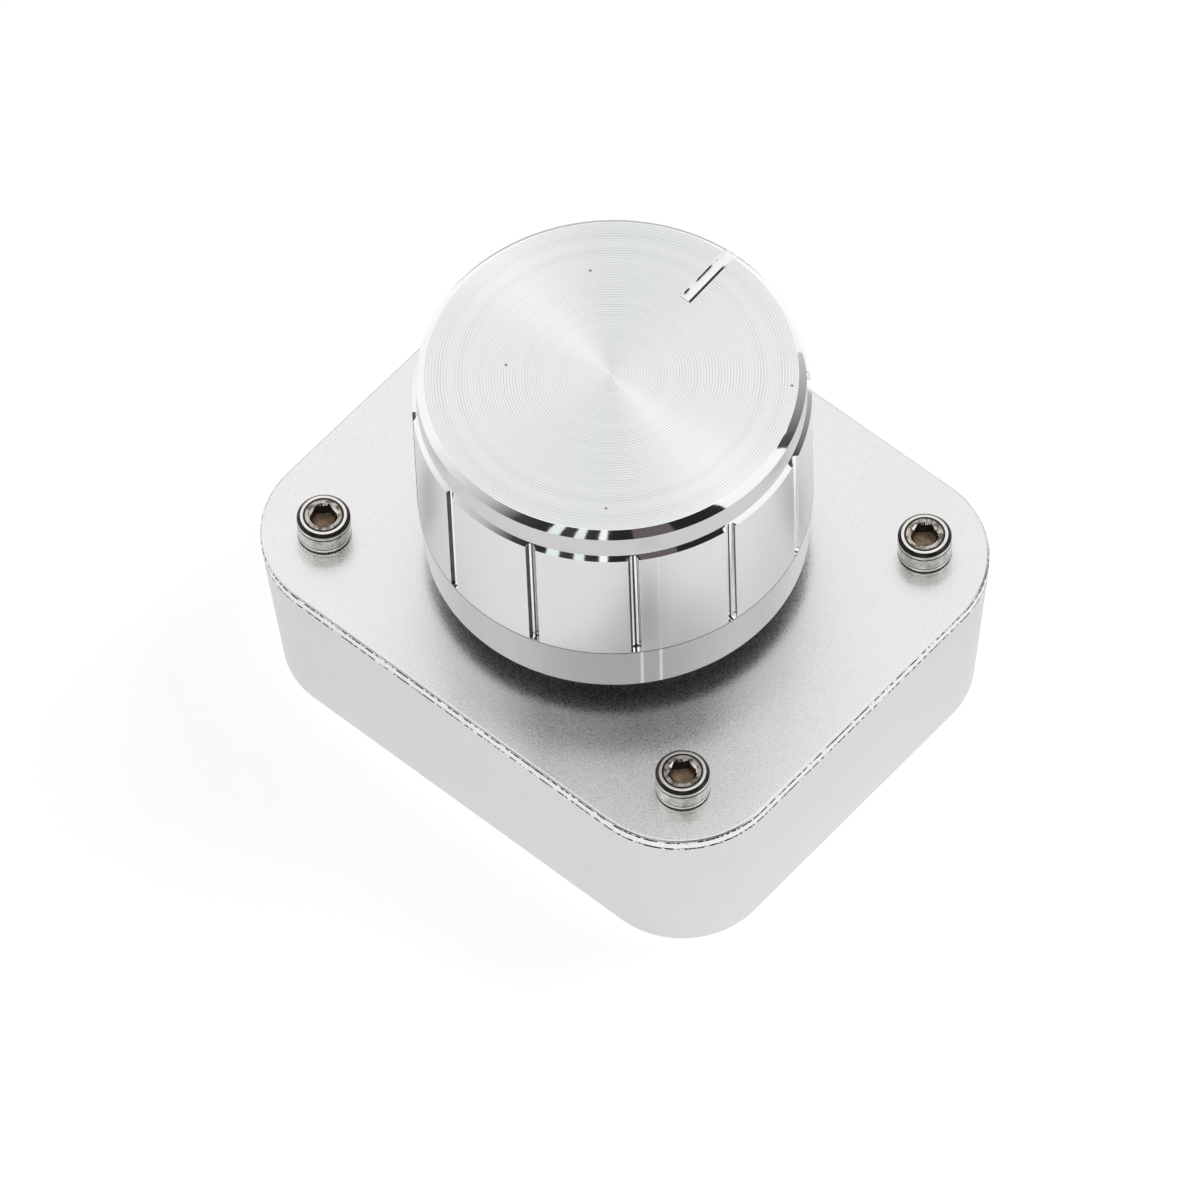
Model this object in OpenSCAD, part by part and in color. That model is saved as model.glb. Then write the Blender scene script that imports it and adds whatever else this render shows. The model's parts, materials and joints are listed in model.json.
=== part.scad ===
// USB volume control knob: a turned aluminium knob on a rotary encoder, on a screwed aluminium base.
// Millimetres, +Z up, +X along the base. The origin is the centre of the base, on the surface that
// the feet stand on. The socket and the power switch are in the wall at +Y.

/* [Base] */
// Length of the top plate, along X
base_length = 63.8; // [60:0.1:76]
// Width of the top plate, along Y
base_width = 53.2; // [51.5:0.1:66]
// Radius of the plate's corners
corner_radius = 11; // [10:0.25:12]
// Height of the housing, without feet and plate
housing_height = 19.5; // [18.5:0.1:24]
// How far each wall leans in from the rim to the underside
wall_lean = 1.5; // [0.8:0.1:1.8]
// Thickness of the housing's walls
wall = 2.2; // [1.8:0.1:2.4]
// Thickness of the housing's floor
floor_thickness = 2; // [1.6:0.1:2.6]
// Bevel round the housing's underside
housing_bevel = 0.5; // [0.3:0.1:0.8]
// Thickness of the top plate
plate_thickness = 1.2; // [1:0.1:1.8]
// Bevel round the plate's top edge
plate_bevel = 0.25; // [0.1:0.05:0.4]

/* [Rubber feet] */
// Diameter of a foot
foot_diameter = 8; // [6:0.5:9]
// How far a foot stands out of the housing
foot_height = 1; // [0.6:0.1:2]
// How deep a foot sits in its recess
foot_recess = 0.6; // [0.4:0.1:0.9]
// Distance from the underside's edges to a foot's centre
foot_inset = 9; // [8:0.5:11]

/* [Cap screws] */
// Distance from the plate's edges to a screw's centre
screw_inset = 7.85; // [7.5:0.05:8.4]
// Diameter of a screw's shank
screw_shank = 3; // [2.5:0.1:3.2]
// Diameter of a screw's head
screw_head = 5.5; // [5:0.1:6]
// Height of a screw's head
screw_head_height = 3; // [2.5:0.1:3.5]
// Bevel round a screw's head
screw_bevel = 0.35; // [0.2:0.05:0.5]
// Width of the hexagon socket across its flats
screw_socket = 2.5; // [2:0.1:3]
// Depth of the hexagon socket
screw_socket_depth = 1.5; // [1:0.1:2]
// Length of a screw below its head
screw_length = 8; // [6:0.5:10]
// Diameter of the housing's screw bosses
boss_diameter = 9.2; // [9:0.1:9.6]

/* [Knob] */
// Place of the knob's axis along X, a little off the base's centre
axis_x = -0.6; // [-1:0.1:1]
// Place of the knob's axis along Y
axis_y = -0.4; // [-1:0.1:1]
// Diameter of the knob's grip
knob_diameter = 40; // [38:0.5:46]
// Height of the knob
knob_height = 26.5; // [25:0.1:32]
// Gap between the top plate and the knob
knob_gap = 2.8; // [2.2:0.1:4]
// How far the top face's edge lies inside the grip's radius
face_setback = 1.3; // [1.1:0.05:1.6]
// How far the satin band lies inside the grip's radius
band_setback = 0.5; // [0.5:0.05:0.7]
// Height of the polished chamfer round the top face
chamfer_height = 0.7; // [0.5:0.05:1.2]
// Height of the satin band
band_height = 2.65; // [1.8:0.05:3]
// Height of the plain lower band
skirt_height = 6.4; // [5:0.1:8]
// How far the lower band tapers in to the knob's underside
skirt_taper = 0.4; // [0.2:0.05:0.6]
// Width and depth of the scribed line over the lower band
scribe_size = 0.12; // [0.08:0.02:0.2]
// Bevel round the knob's lower rim
rim_bevel = 0.25; // [0.15:0.05:0.4]
// Number of grip grooves
groove_count = 12; // [8:1:18]
// Radius of the cutter that makes a grip groove
groove_radius = 0.54; // [0.5:0.02:0.62]
// Depth of a grip groove
groove_depth = 0.46; // [0.34:0.02:0.48]
// Direction of the indicator at rest, from +X
indicator_angle = 92.1; // [0:0.1:360]
// Width of the indicator slot
indicator_width = 1.3; // [0.8:0.1:2]
// Depth of the indicator slot
indicator_depth = 0.45; // [0.3:0.05:0.8]
// Distance from the knob's centre to the slot's inner end
indicator_start = 11.8; // [8:0.1:14]
// Diameter of the hollow under the knob
hollow_diameter = 32; // [28:0.5:34]
// Depth of the hollow under the knob
hollow_depth = 9; // [7:0.5:11]
// Diameter of the hub in the hollow
hub_diameter = 14; // [12.5:0.5:16]
// Diameter of the knob's insert
insert_diameter = 9.5; // [8.6:0.1:10.5]

/* [Encoder] */
// Width of the encoder's case, along X and Y
encoder_width = 11.7; // [11.5:0.1:12.5]
// Height of the encoder's case
encoder_height = 5.6; // [5.6:0.1:6.4]
// Thickness of the encoder's frame
frame_sheet = 0.6; // [0.4:0.05:0.8]
// Diameter of the threaded bushing
bushing_diameter = 7; // [6.9:0.1:7.4]
// Height of the bushing over the frame
bushing_height = 7; // [6:0.5:7]
// Diameter of the shaft
shaft_diameter = 6; // [5.8:0.1:6.2]
// Length of the shaft over the frame
shaft_length = 20; // [18:0.5:21]
// Length of the flat at the shaft's top
shaft_flat_length = 10; // [8:0.5:11]
// Depth of the flat at the shaft's top
shaft_flat_depth = 1.5; // [1:0.1:1.8]
// Running clearance of the shaft, on its radius
shaft_clearance = 0.05; // [0.02:0.01:0.08]
// Travel of the push switch
push_travel = 0.5; // [0.3:0.05:0.5]
// Number of clicks in a turn
detent_count = 20; // [12:1:24]
// Width of the nut across its flats
nut_width = 10; // [9:0.5:11]
// Height of the nut
nut_height = 2; // [1.6:0.1:2]
// Diameter of the washer
washer_diameter = 12; // [11:0.5:13]
// Thickness of the washer
washer_thickness = 0.5; // [0.4:0.1:0.6]

/* [Circuit board] */
// Gap between the board and the housing's screw bosses
boss_gap = 0.5; // [0.3:0.1:1.5]
// Thickness of the board
board_thickness = 1.6; // [1.2:0.2:1.6]
// Gap between the board and the wall at +Y
board_gap = 0.6; // [0.4:0.1:1]
// Gap between the board and the wall at -Y
front_gap = 3.9; // [3:0.1:5]
// Distance from the board's side edges to its screws
board_screw_inset = 3.5; // [3:0.1:4]
// Gap between the battery cell and the posts of the board screws
post_gap = 0.6; // [0.4:0.1:1.5]
// Diameter of a board screw's shank
board_screw_shank = 2; // [1.8:0.1:2.2]

/* [Charging socket] */
// Width of the socket's shell
usb_width = 7.5; // [7.3:0.1:8]
// Height of the socket's shell
usb_height = 2.6; // [2.4:0.1:3]
// Depth of the socket's shell
usb_depth = 5.6; // [5:0.1:6.5]
// Thickness of the shell's sheet
usb_sheet = 0.3; // [0.2:0.05:0.35]
// Slanted corners of the shell
usb_corner = 0.8; // [0.6:0.1:0.9]
// Place of the socket, along X
usb_x = 0; // [-2:0.5:4]

/* [Power switch] */
// Width of the switch's case
switch_width = 8.6; // [8:0.1:9]
// Depth of the switch's case
switch_depth = 3.6; // [3.4:0.1:4]
// Height of the switch's case
switch_height = 3.2; // [3:0.1:3.6]
// Travel of the slider
switch_travel = 2; // [1.5:0.1:2.2]
// Width of the slider's lever
lever_width = 1.6; // [1.4:0.1:1.8]
// Height of the slider's lever
lever_height = 1.4; // [1.2:0.1:1.5]
// How far the lever stands out of the wall
lever_reach = 0.5; // [0.3:0.1:0.5]

/* [Battery] */
// Length of the cell, along X
cell_length = 27; // [24:0.5:27]
// Width of the cell, along Y
cell_width = 20; // [16:0.5:21]
// Thickness of the cell
cell_thickness = 5; // [4:0.1:5]
// Thickness of the foam pad under the cell
pad_thickness = 0.5; // [0.3:0.1:0.6]
// Diameter of a lead
lead_diameter = 1; // [0.8:0.1:1.1]
// Bend radius of a lead
lead_bend = 2; // [1.8:0.1:2]
// Length of a lead's straight run, from the cell to the bend
lead_run = 1; // [0.8:0.1:2]

/* [Hidden] */
$fn = 72;

// How far a cut runs past the face it opens
overrun = 0.5;
// Gap round a piece that drops into its place
fit = 0.05;
// Gap between pieces that slide on each other
slip = 0.1;
// Gap round a screw or pin in a clearance hole
clear = 0.2;

// Heights of the base
floor_z = foot_height + floor_thickness;
rim_z = foot_height + housing_height;
plate_z = rim_z + plate_thickness;

// How far a wall has leaned in at a height, and where its faces are
function lean_at(z) = wall_lean * (rim_z - z) / housing_height;
function outer_y(z) = base_width / 2 - lean_at(z);
function inner_y(z) = outer_y(z) - wall;

// Places of the cap screws and the feet
screw_x = base_length / 2 - screw_inset;
screw_y = base_width / 2 - screw_inset;
foot_x = base_length / 2 - wall_lean - foot_inset;
foot_y = base_width / 2 - wall_lean - foot_inset;
tapped_depth = screw_length - plate_thickness + overrun;
socket_turns = [16, 41, 18, 12];

// Heights and radii of the knob, from its underside
knob_z = plate_z + knob_gap;
grip_r = knob_diameter / 2;
face_r = grip_r - face_setback;
band_r = grip_r - band_setback;
skirt_r = grip_r - skirt_taper;
chamfer_z = knob_height - chamfer_height;
band_z = chamfer_z - band_height;
// The step at the foot of the band lies parallel to the chamfer
step_height = band_setback * chamfer_height / (face_setback - band_setback);
grip_top_z = band_z - step_height;

// Heights of the encoder: the case stands on the board, the frame touches the plate
case_top_z = rim_z - frame_sheet;
board_top_z = case_top_z - encoder_height;
board_z = board_top_z - board_thickness;
bushing_top_z = rim_z + bushing_height;
shaft_top_z = rim_z + shaft_length;
bore_r = shaft_diameter / 2 + shaft_clearance;

// Inside the case: a pocket for the plunger, then a shelf that the rotor turns on
case_floor = 0.6;
dome_height = 0.25;
plunger_height = 0.7;
plunger_r = 2.6;
plunger_z = board_top_z + case_floor + dome_height + fit + push_travel;
plunger_pocket_r = plunger_r + slip;
shelf_z = plunger_z + plunger_height + 2 * slip;
rotor_r = 5;
rotor_height = 1.4;
rotor_z = shelf_z + fit;
rotor_top_z = rotor_z + rotor_height;
case_bore_r = rotor_r + clear;
key_r = 2.2;
key_half = 1.7;
key_z = plunger_z + plunger_height + fit;
collar_height = 0.5;
collar_r = 3.7;
collar_z = case_top_z - slip - collar_height;
notch_r = 0.25;
spring_sheet = 0.25;
spring_width = 0.8;
tab_width = 2;
tab_height = 0.9;
leg_width = 2.2;
leg_reach = 0.8;
leg_x = encoder_width / 2 + frame_sheet / 2;
nut_bevel = 0.3;

// Hub and insert: the insert holds the flat end of the shaft
hub_z = bushing_top_z + push_travel + clear + fit;
insert_top_z = shaft_top_z + clear;

// The board lies between the screw bosses, its posts before and behind the battery cell
board_length = 2 * (screw_x - boss_diameter / 2 - boss_gap);
board_width = 2 * inner_y(board_z) - board_gap - front_gap;
board_y = (front_gap - board_gap) / 2;
cell_y = -0.5;
post_r = 2.5;
board_screw_x = board_length / 2 - board_screw_inset;
rear_screw_y = cell_y + cell_width / 2 + post_gap + post_r;
front_screw_y = cell_y - cell_width / 2 - post_gap - post_r;
board_corner = 1.5;
board_screw_head = 3.8;
board_screw_head_height = 1.3;
board_screw_length = 6;

// Terminals of the encoder: three at -Y and two at +Y
pin_width = 0.8;
pin_sheet = 0.4;
pin_reach = 1.2;
pin_level = 0.8;
pin_hole_r = 0.55;
three_pin_pitch = 2.5;
two_pin_pitch = 5;
pin_row = encoder_width / 2 + 1.4 * pin_width;

// Chips and small parts on the board
chip_width = 5;
chip_height = 0.9;
chip_x = (board_length / 2 + leg_x + frame_sheet / 2) / 2;
chip_y = board_y - 6.6;
chip_mark_r = 0.35;
lead_sheet = 0.15;
charger_length = 4.9;
charger_width = 3.9;
charger_height = 1.5;
charger_y = board_y + 2.4;
charger_pitch = 1.27;
charger_foot = 1;
charger_lead = 0.42;
crystal_length = 3.2;
crystal_width = 2.5;
crystal_height = 0.8;
crystal_y = board_y + 0.9;
chip_part_length = 1.6;
chip_part_width = 0.8;
capacitor_height = 0.8;
resistor_height = 0.45;
small_part_pitch = 2.4;
small_part_count = 5;
small_part_gap = 1;
capacitor_y = axis_y - pin_row - pin_hole_r - small_part_gap - chip_part_length / 2;
resistor_y = capacitor_y - chip_part_length - small_part_gap;

// The socket hangs under the board, its mouth just inside the wall's outer face
usb_z = board_z - usb_height / 2;
usb_recess = 0.4;
usb_front = outer_y(usb_z) - usb_recess;
tongue_width = 3.9;
tongue_sheet = 0.6;
tongue_gap = 0.55;
tongue_setback = 0.9;
tongue_root = 1.6;
contact_width = 0.3;
contact_sheet = 0.1;
contact_pitch = 0.65;
contact_count = 5;

// The switch hangs under the board, midway between the socket and a screw boss
switch_x = (usb_x - usb_width / 2 - screw_x + boss_diameter / 2) / 2;
switch_z = board_z - switch_height / 2;
switch_front = inner_y(board_z - switch_height) - clear;
switch_wall = 0.5;
carriage_width = 4;
slot_round = 0.4;
lever_tip = outer_y(switch_z) + lever_reach;
switch_pin = 0.5;
switch_pin_pitch = 2.5;
switch_hole_r = 0.45;

// The battery lies on the floor, its leads bend up to a plug under the board's +X end
plug_inset = 4;
plug_x = board_length / 2 - plug_inset;
cell_end = 2;
cell_right = plug_x - lead_bend - lead_run - cell_end;
cell_x = cell_right - cell_length / 2;
cell_z = floor_z + pad_thickness;
cell_round = 1;
cell_end_step = 0.6;
pad_inset = 1.5;
lead_gap = 2;
lead_z = cell_z + cell_thickness / 2;
plug_z = lead_z + lead_bend;
plug_length = 3.4;
plug_width = 5;
header_wall = 0.6;
header_height = 3.4;
header_roof = 0.8;

silver = [0.83, 0.84, 0.85];
steel = [0.72, 0.70, 0.66];
brass = [0.82, 0.68, 0.36];
black = [0.10, 0.10, 0.11];
green = [0.07, 0.34, 0.20];

// Outline of a rectangle with round corners
module rounded_outline(length, width, radius) {
    square([length - 2 * radius, width], center = true);
    square([length, width - 2 * radius], center = true);
    for (sx = [-1, 1], sy = [-1, 1])
        translate([sx * (length / 2 - radius), sy * (width / 2 - radius)])
            circle(r = radius);
}

// Round-cornered block whose sides run out by flare on their way up
module flared_block(length, width, radius, height, flare) {
    mid_x = length / 2 - radius;
    mid_y = width / 2 - radius;
    for (sx = [-1, 1], sy = [-1, 1])
        translate([sx * mid_x, sy * mid_y, 0])
            cylinder(h = height, r1 = radius, r2 = radius + flare);
    rotate([90, 0, 0])
        linear_extrude(height = 2 * mid_y, center = true)
            flared_side(length, height, flare);
    rotate([90, 0, 90])
        linear_extrude(height = 2 * mid_x, center = true)
            flared_side(width, height, flare);
}

module flared_side(length, height, flare) {
    low = length / 2;
    high = low + flare;
    polygon([[-low, 0], [low, 0], [high, height], [-high, height]]);
}

// A copy in each of the four corners
module at_corners(x, y) {
    for (sx = [-1, 1], sy = [-1, 1])
        translate([sx * x, sy * y, 0])
            children();
}

// Move to the knob's axis, at height z
module at_axis(z = 0) {
    translate([axis_x, axis_y, z])
        children();
}

// Copies at the four board screws
module at_board_screws() {
    for (sx = [-1, 1], y = [front_screw_y, rear_screw_y])
        translate([sx * board_screw_x, y, 0])
            children();
}

// An outline in X and Z, extruded from y0 to y1
module along_y(y0, y1) {
    translate([0, y1, 0])
        rotate([90, 0, 0])
            linear_extrude(height = y1 - y0)
                children();
}

// The housing: a leaning tray with corner bosses and board posts
module housing_block() {
    bevel_lean = lean_at(foot_height + housing_bevel);
    length = base_length - 2 * bevel_lean;
    width = base_width - 2 * bevel_lean;
    radius = corner_radius - bevel_lean;
    translate([0, 0, foot_height])
        flared_block(length - 2 * housing_bevel, width - 2 * housing_bevel, radius - housing_bevel,
            housing_bevel, housing_bevel);
    translate([0, 0, foot_height + housing_bevel])
        flared_block(length, width, radius, housing_height - housing_bevel, bevel_lean);
}

module housing_cavity() {
    lean = lean_at(floor_z);
    top_lean = lean_at(rim_z + overrun);
    translate([0, 0, floor_z])
        flared_block(base_length - 2 * (lean + wall), base_width - 2 * (lean + wall),
            corner_radius - lean - wall, rim_z + overrun - floor_z, lean - top_lean);
}

module housing() {
    post_height = board_z - floor_z;
    color(silver)
        difference() {
            union() {
                difference() {
                    housing_block();
                    housing_cavity();
                }
                translate([0, 0, foot_height + floor_thickness / 2])
                    at_corners(screw_x, screw_y)
                        cylinder(h = housing_height - floor_thickness / 2, d = boss_diameter);
                translate([0, 0, floor_z - floor_thickness / 2])
                    at_board_screws()
                        cylinder(h = post_height + floor_thickness / 2, r = post_r);
            }
            translate([0, 0, rim_z - tapped_depth])
                at_corners(screw_x, screw_y)
                    cylinder(h = tapped_depth + overrun, d = screw_shank + 2 * fit);
            translate([0, 0, board_z - board_screw_length])
                at_board_screws()
                    cylinder(h = board_screw_length + overrun, d = board_screw_shank + 2 * fit);
            translate([0, 0, foot_height - overrun])
                at_corners(foot_x, foot_y)
                    cylinder(h = foot_recess + overrun, d = foot_diameter + 2 * fit);
            translate([usb_x, 0, usb_z])
                along_y(inner_y(floor_z) - overrun, base_width / 2 + overrun)
                    rounded_outline(usb_width + 2 * clear, usb_height + 2 * clear, usb_corner);
            translate([switch_x, 0, switch_z])
                along_y(inner_y(floor_z) - overrun, base_width / 2 + overrun)
                    rounded_outline(lever_width + switch_travel + 4 * clear, lever_height + 4 * clear,
                        slot_round);
        }
}

// Plate with a bevelled top edge: a straight block within one that leans in at 45 degrees
module plate_blank() {
    skirt = plate_thickness - plate_bevel;
    intersection() {
        linear_extrude(height = plate_thickness)
            rounded_outline(base_length, base_width, corner_radius);
        flared_block(base_length + 2 * skirt, base_width + 2 * skirt, corner_radius + skirt,
            plate_thickness, -plate_thickness);
    }
}

// The plate has holes for the screws, the bushing and the frame's tab
module top_plate() {
    color(silver)
        difference() {
            translate([0, 0, rim_z])
                plate_blank();
            translate([0, 0, rim_z - overrun])
                at_corners(screw_x, screw_y)
                    cylinder(h = plate_thickness + 2 * overrun, d = screw_shank + 2 * clear);
            at_axis(rim_z - overrun) {
                cylinder(h = plate_thickness + 2 * overrun, d = bushing_diameter + 2 * slip);
                translate([0, frame_sheet / 2 - encoder_width / 2, 0])
                    linear_extrude(height = plate_thickness + 2 * overrun)
                        square([tab_width + 2 * clear, frame_sheet + 2 * clear], center = true);
            }
        }
}

// Socket head cap screw, its head on the plate and its hexagon turned by an angle
module cap_screw(turn) {
    head_r = screw_head / 2;
    shank_r = screw_shank / 2;
    foot_bevel = screw_bevel / 2;
    difference() {
        rotate_extrude()
            polygon([[0, -screw_length], [shank_r - screw_bevel, -screw_length],
                [shank_r, screw_bevel - screw_length], [shank_r, 0], [head_r - foot_bevel, 0],
                [head_r, foot_bevel], [head_r, screw_head_height - screw_bevel],
                [head_r - screw_bevel, screw_head_height], [0, screw_head_height]]);
        translate([0, 0, screw_head_height - screw_socket_depth])
            rotate(turn)
                cylinder(h = screw_socket_depth + overrun, d = screw_socket / cos(30), $fn = 6);
    }
}

// Each screw stopped at its own turn when it was tightened
module cap_screws() {
    color(steel)
        for (i = [0, 1], j = [0, 1])
            translate([(2 * i - 1) * screw_x, (2 * j - 1) * screw_y, plate_z])
                cap_screw(socket_turns[2 * i + j]);
}

module rubber_feet() {
    foot_edge = foot_height / 4;
    color(black)
        at_corners(foot_x, foot_y) {
            cylinder(h = foot_edge, d1 = foot_diameter - 2 * foot_edge, d2 = foot_diameter);
            translate([0, 0, foot_edge])
                cylinder(h = foot_height + foot_recess - foot_edge, d = foot_diameter);
        }
}

// Turned outline of the knob, from its underside to its top face
module knob_profile() {
    polygon([[0, 0], [skirt_r - rim_bevel, 0], [skirt_r, rim_bevel],
        [grip_r, skirt_height], [grip_r - scribe_size, skirt_height],
        [grip_r - scribe_size, skirt_height + scribe_size], [grip_r, skirt_height + scribe_size],
        [grip_r, grip_top_z], [band_r, band_z], [band_r, chamfer_z],
        [face_r, knob_height], [0, knob_height]]);
}

// The hollow takes the nut, and the hub in it stops short of the bushing
module knob_hollow() {
    hub_low = hub_z - knob_z;
    difference() {
        translate([0, 0, -overrun])
            cylinder(h = hollow_depth + overrun, d = hollow_diameter);
        translate([0, 0, hub_low])
            cylinder(h = hollow_depth, d = hub_diameter);
    }
}

module knob() {
    groove_foot = skirt_height + scribe_size;
    insert_hole = insert_top_z - hub_z;
    color(silver)
        at_axis(knob_z)
            rotate(indicator_angle)
                difference() {
                    rotate_extrude()
                        knob_profile();
                    knob_hollow();
                    for (i = [0:groove_count - 1])
                        rotate((i + 1 / 2) * 360 / groove_count)
                            translate([grip_r + groove_radius - groove_depth, 0, groove_foot])
                                cylinder(h = band_z - groove_foot, r = groove_radius);
                    translate([0, 0, hub_z - knob_z - overrun])
                        cylinder(h = insert_hole + overrun, d = insert_diameter + 2 * fit);
                    translate([indicator_start, -indicator_width / 2, knob_height - indicator_depth])
                        cube([grip_r, indicator_width, indicator_depth + overrun]);
                }
}

// Bushing in the hub, with a bore that fits the flat of the shaft
module flat_shaft_outline(gap) {
    r = shaft_diameter / 2 + gap;
    difference() {
        circle(r = r);
        translate([r - shaft_flat_depth, -r])
            square([2 * shaft_flat_depth, 2 * r]);
    }
}

module knob_insert() {
    flat_z = shaft_top_z - shaft_flat_length;
    color(black)
        at_axis()
            rotate(indicator_angle)
                difference() {
                    translate([0, 0, hub_z])
                        cylinder(h = insert_top_z - hub_z, d = insert_diameter);
                    translate([0, 0, hub_z - overrun])
                        cylinder(h = flat_z - hub_z + overrun, d = shaft_diameter + 2 * fit);
                    translate([0, 0, flat_z - fit])
                        linear_extrude(height = shaft_flat_length + 2 * fit)
                            flat_shaft_outline(fit);
                }
}

// Shaft: a key for the rotor, a collar under the frame, the round stretch and the flat
module key_outline(gap) {
    intersection() {
        circle(r = key_r + gap);
        square([2 * (key_half + gap), 2 * (key_r + gap)], center = true);
    }
}

module encoder_shaft() {
    flat_z = shaft_top_z - shaft_flat_length;
    color(steel)
        at_axis()
            rotate(indicator_angle) {
                translate([0, 0, key_z])
                    linear_extrude(height = collar_z - key_z)
                        key_outline(0);
                translate([0, 0, collar_z])
                    cylinder(h = collar_height, r = collar_r);
                translate([0, 0, collar_z + collar_height])
                    cylinder(h = flat_z - collar_z - collar_height, d = shaft_diameter);
                translate([0, 0, flat_z])
                    linear_extrude(height = shaft_flat_length)
                        flat_shaft_outline(0);
            }
}

// Frame over the case: a sheet with the bushing, two legs soldered in the board, a locating tab
module encoder_frame() {
    span = encoder_width + 2 * frame_sheet;
    leg_foot = board_z - leg_reach;
    color(steel)
        at_axis()
            difference() {
                union() {
                    translate([-span / 2, -encoder_width / 2, case_top_z])
                        cube([span, encoder_width, frame_sheet]);
                    for (side = [-1, 1]) {
                        translate([side * leg_x - frame_sheet / 2, -leg_width, board_top_z])
                            cube([frame_sheet, 2 * leg_width, encoder_height]);
                        translate([side * leg_x - frame_sheet / 2, -leg_width / 2, leg_foot])
                            cube([frame_sheet, leg_width, board_top_z - leg_foot]);
                    }
                    translate([-tab_width / 2, -encoder_width / 2, rim_z])
                        cube([tab_width, frame_sheet, tab_height]);
                    translate([0, 0, rim_z])
                        cylinder(h = bushing_height, d = bushing_diameter);
                }
                translate([0, 0, case_top_z - overrun])
                    cylinder(h = frame_sheet + bushing_height + 2 * overrun, r = bore_r);
            }
}

module encoder_washer() {
    color(steel)
        at_axis(plate_z)
            difference() {
                cylinder(h = washer_thickness, d = washer_diameter);
                translate([0, 0, -overrun])
                    cylinder(h = washer_thickness + 2 * overrun, d = bushing_diameter + 2 * slip);
            }
}

// Hexagon nut, its upper corners turned off
module encoder_nut() {
    corner_r = nut_width / 2 / cos(30);
    color(steel)
        at_axis(plate_z + washer_thickness)
            difference() {
                intersection() {
                    cylinder(h = nut_height, r = corner_r, $fn = 6);
                    union() {
                        cylinder(h = nut_height - nut_bevel, r = corner_r + nut_bevel);
                        translate([0, 0, nut_height - nut_bevel])
                            cylinder(h = nut_bevel, r1 = corner_r, r2 = corner_r - nut_bevel / tan(30));
                    }
                }
                translate([0, 0, -overrun])
                    cylinder(h = nut_height + 2 * overrun, d = bushing_diameter + 2 * fit);
            }
}

module encoder_case() {
    color(black)
        at_axis()
            difference() {
                translate([-encoder_width / 2, -encoder_width / 2, board_top_z])
                    cube([encoder_width, encoder_width, encoder_height]);
                translate([0, 0, board_top_z + case_floor])
                    cylinder(h = encoder_height, r = plunger_pocket_r);
                translate([0, 0, shelf_z])
                    cylinder(h = encoder_height, r = case_bore_r);
            }
}

// Code wheel, keyed to the shaft, with a ring of click notches in its upper face
module encoder_rotor() {
    color(brass)
        at_axis()
            rotate(indicator_angle)
                difference() {
                    translate([0, 0, rotor_z])
                        cylinder(h = rotor_height, r = rotor_r);
                    translate([0, 0, rotor_z - overrun])
                        linear_extrude(height = rotor_height + 2 * overrun)
                            key_outline(slip);
                    for (i = [0:detent_count - 1])
                        rotate(i * 360 / detent_count)
                            translate([collar_r, 0, rotor_top_z])
                                rotate([0, 90, 0])
                                    cylinder(h = rotor_r, r = notch_r);
                }
}

// Spring ring under the frame, its two noses over the notches
module detent_spring() {
    ring_r = case_bore_r - slip;
    ring_z = case_top_z - spring_sheet;
    color(steel)
        at_axis() {
            translate([0, 0, ring_z])
                difference() {
                    cylinder(h = spring_sheet, r = ring_r);
                    translate([0, 0, -overrun])
                        cylinder(h = spring_sheet + 2 * overrun, r = ring_r - spring_width);
                }
            for (side = [-1, 1])
                translate([0, side * (ring_r - spring_width / 2), rotor_top_z + fit])
                    cylinder(h = ring_z - rotor_top_z - fit, d = spring_width);
        }
}

module push_plunger() {
    color(black)
        at_axis(plunger_z)
            cylinder(h = plunger_height, r = plunger_r);
}

// Snap dome on the floor of the case
module switch_dome() {
    dome_r = plunger_r - slip;
    color(steel)
        at_axis(board_top_z + case_floor)
            cylinder(h = dome_height, r1 = dome_r, r2 = dome_r / 2);
}

// Strip that leaves the case and bends down through the board
module bent_pin() {
    pin_top = board_top_z + pin_level;
    pin_foot = board_z - pin_reach;
    translate([-pin_width / 2, encoder_width / 2, pin_top - pin_sheet])
        cube([pin_width, pin_row - encoder_width / 2 + pin_sheet / 2, pin_sheet]);
    translate([-pin_width / 2, pin_row - pin_sheet / 2, pin_foot])
        cube([pin_width, pin_sheet, pin_top - pin_foot]);
}

// Copies at the encoder's five terminals, turned so that each points outwards
module at_pins() {
    for (i = [-1, 0, 1])
        rotate(180)
            translate([i * three_pin_pitch, 0, 0])
                children();
    for (i = [-1, 1])
        translate([i * two_pin_pitch / 2, 0, 0])
            children();
}

module encoder_terminals() {
    color(brass)
        at_axis()
            at_pins()
                bent_pin();
}

module circuit_board() {
    slot_length = leg_width + 2 * clear;
    slot_width = frame_sheet + 2 * clear;
    color(green)
        translate([0, 0, board_z])
            difference() {
                linear_extrude(height = board_thickness)
                    translate([0, board_y])
                        rounded_outline(board_length, board_width, board_corner);
                translate([0, 0, -overrun]) {
                    at_board_screws()
                        cylinder(h = board_thickness + 2 * overrun, d = board_screw_shank + 2 * clear);
                    at_switch_pins()
                        cylinder(h = board_thickness + 2 * overrun, r = switch_hole_r);
                }
                at_axis(-overrun) {
                    at_pins()
                        translate([0, pin_row, 0])
                            cylinder(h = board_thickness + 2 * overrun, r = pin_hole_r);
                    for (side = [-1, 1])
                        translate([side * leg_x, 0, 0])
                            linear_extrude(height = board_thickness + 2 * overrun)
                                square([slot_width, slot_length], center = true);
                }
            }
}

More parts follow.
